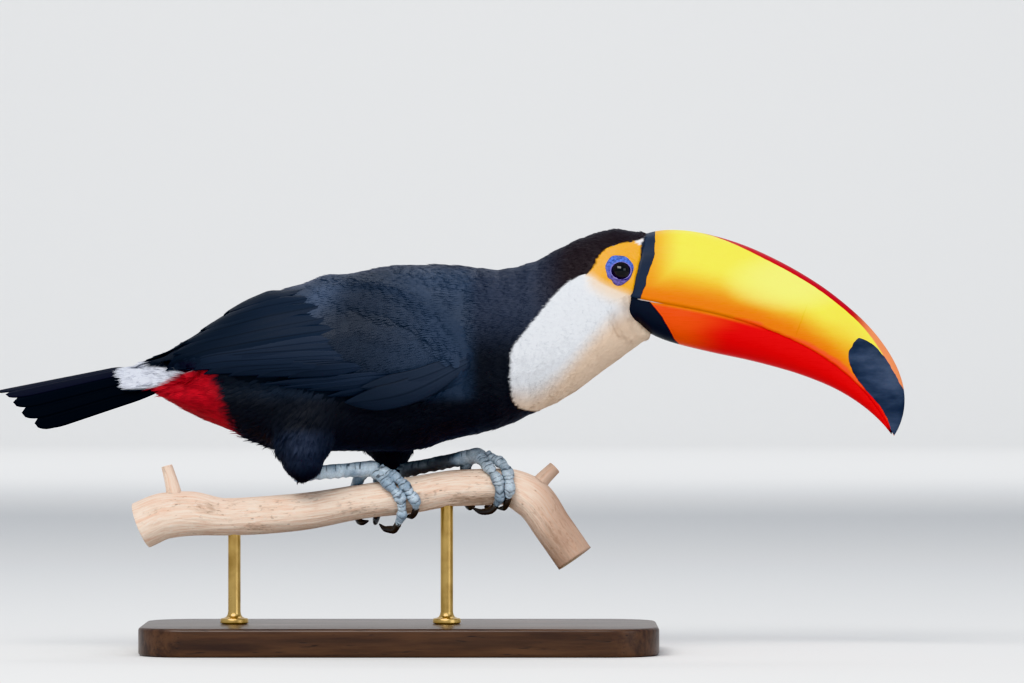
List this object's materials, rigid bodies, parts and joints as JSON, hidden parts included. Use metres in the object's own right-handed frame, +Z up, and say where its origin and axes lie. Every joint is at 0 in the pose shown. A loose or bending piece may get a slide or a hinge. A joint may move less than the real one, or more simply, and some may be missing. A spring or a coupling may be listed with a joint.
{
  "type": "toco toucan",
  "caption": "Life-size still model of a toco toucan crouching along a cut length of branch, held over a flat base by short rods.",
  "frame": {"origin": "middle of the underside of the stand's base, at floor level", "axes": "+X the way the bill points, +Y the bird's left side, +Z up"},
  "size_m": [0.5817, 0.15, 0.2713],
  "materials": {
    "black_plumage": "soft overlapping feathers, matt with a faint blue sheen",
    "white_plumage": "fine silky feathers, matt",
    "red_plumage": "fine loose feathers, matt",
    "bill_upper": "polished horn, orange to yellow with a red ridge, dark base band and dark tip patch",
    "bill_lower": "polished horn, orange to deep red with a black base",
    "eye": "wet gloss, near black",
    "leg_skin": "scaled pale blue-grey skin with dark creases",
    "claw_horn": "smooth dark horn",
    "bark": "thin grey-brown bark with fine lengthwise cracks, sawn ends",
    "stand_wood": "dark stained hardwood, satin varnish",
    "stand_brass": "satin brushed brass"
  },
  "bodies": {
    "root": {"bill_lower": "bill_lower", "bill_upper": "bill_upper", "head": "white_plumage", "neck": "white_plumage", "trunk": "black_plumage", "tail_coverts_upper": "white_plumage", "tail_coverts_lower": "red_plumage", "tail": "black_plumage", "wing_left": "black_plumage", "wing_right": "black_plumage", "eye_left": "eye", "eye_right": "eye", "thigh_left": "black_plumage", "thigh_right": "black_plumage", "tarsus_left": "leg_skin", "tarsus_right": "leg_skin", "toe_left_1": "leg_skin", "claw_left_1": "claw_horn", "toe_left_2": "leg_skin", "claw_left_2": "claw_horn", "toe_left_3": "leg_skin", "claw_left_3": "claw_horn", "toe_left_4": "leg_skin", "claw_left_4": "claw_horn", "toe_right_1": "leg_skin", "claw_right_1": "claw_horn", "toe_right_2": "leg_skin", "claw_right_2": "claw_horn", "toe_right_3": "leg_skin", "claw_right_3": "claw_horn", "toe_right_4": "leg_skin", "claw_right_4": "claw_horn", "perch": "bark", "stand_base": "stand_wood", "stand_rod_rear": "stand_brass", "stand_rod_front": "stand_brass"}
  },
  "joints": []
}
